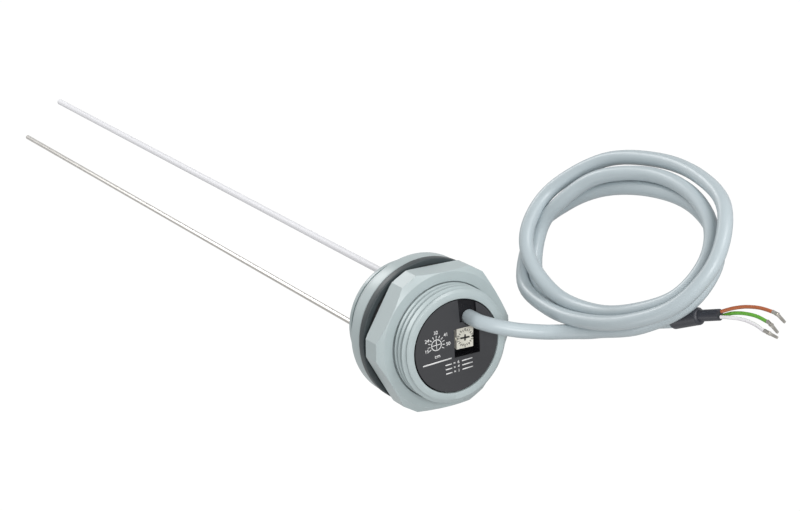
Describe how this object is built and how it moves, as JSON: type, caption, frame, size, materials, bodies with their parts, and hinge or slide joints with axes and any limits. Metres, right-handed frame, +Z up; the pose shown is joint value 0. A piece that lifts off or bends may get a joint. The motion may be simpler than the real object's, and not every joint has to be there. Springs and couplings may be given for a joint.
{
  "type": "tank level electrode",
  "caption": "Threaded sensor head with lock nut, seals, coding switch and coiled cable, and two long rods that sense the level of a liquid in a tank.",
  "frame": {"origin": "on the floor, under the middle of the box of head and rods, without the cable", "axes": "+X along the rods towards the head's label, +Z up; the head's own axis is tilted up by 3.66 degrees, as it lies on its flange and lower rod tip"},
  "size_m": [0.4706, 0.116, 0.0535],
  "materials": {
    "body_plastic": "satin moulded plastic, pale bluish grey",
    "gasket_rubber": "matt slate black",
    "label_print": "dark grey printed film, satin",
    "potting_resin": "glossy black resin",
    "switch_plastic": "beige moulded plastic",
    "rotor_plastic": "beige moulded plastic",
    "board_laminate": "green solder mask",
    "component_black": "matt black",
    "component_can": "plain can",
    "bright_steel": "bright drawn stainless steel",
    "white_sheath": "white plastic sleeve, satin",
    "bush_plastic": "off-white insulating plastic",
    "cable_jacket": "light bluish grey, satin",
    "sleeve_plastic": "shrunk dark slate sleeve, satin",
    "tinned_metal": "tinned, bright",
    "wire_brown": "brown insulation",
    "wire_green": "green insulation",
    "wire_white": "white insulation"
  },
  "bodies": {
    "head": {"housing": "body_plastic", "rear_cap": "body_plastic", "flange_gasket": "gasket_rubber", "label": "label_print", "potting": "potting_resin", "switch_body": "switch_plastic", "switch_pin_1": "tinned_metal", "switch_pin_2": "tinned_metal", "switch_pin_3": "tinned_metal", "switch_pin_4": "tinned_metal", "circuit_board": "board_laminate", "control_chip": "component_black", "voltage_regulator": "component_black", "filter_capacitor": "component_can", "steel_rod": "bright_steel", "steel_rod_bush": "bush_plastic", "steel_rod_seal": "gasket_rubber", "steel_rod_wire": "tinned_metal", "rod_sheath": "white_sheath", "sheathed_rod": "bright_steel", "sheath_rod_bush": "bush_plastic", "sheath_rod_seal": "gasket_rubber", "sheath_rod_wire": "tinned_metal", "inner_wire_brown": "wire_brown", "inner_wire_green": "wire_green", "inner_wire_white": "wire_white", "cable_lead": "cable_jacket", "cable_coil": "cable_jacket", "sleeve": "sleeve_plastic", "sleeve_cuff": "sleeve_plastic", "wire_brown": "wire_brown", "wire_green": "wire_green", "wire_white": "wire_white", "pin_brown": "tinned_metal", "pin_green": "tinned_metal", "pin_white": "tinned_metal"},
    "slip_ring": {"slip_ring": "gasket_rubber"},
    "lock_nut": {"lock_nut": "body_plastic"},
    "switch_rotor": {"switch_rotor": "rotor_plastic"}
  },
  "joints": [
    {"name": "nut_travel", "type": "slide", "parent": "head", "child": "slip_ring", "axis": [0.998, 0, 0.0638], "range_m": [0, 0.01385]},
    {"name": "nut_turn", "type": "hinge", "parent": "slip_ring", "child": "lock_nut", "pos_m": [0.16903, 0, 0.02728], "axis": [0.998, 0, 0.0638], "range_deg": [0, 2160]},
    {"name": "coding_switch_turn", "type": "hinge", "parent": "head", "child": "switch_rotor", "pos_m": [0.17868, 0.0038, 0.02449], "axis": [0.998, 0, 0.0638], "continuous": true}
  ],
  "couplings": [
    {"joint": "nut_travel", "follows": "nut_turn", "m_per_rad": 0.00036749}
  ]
}
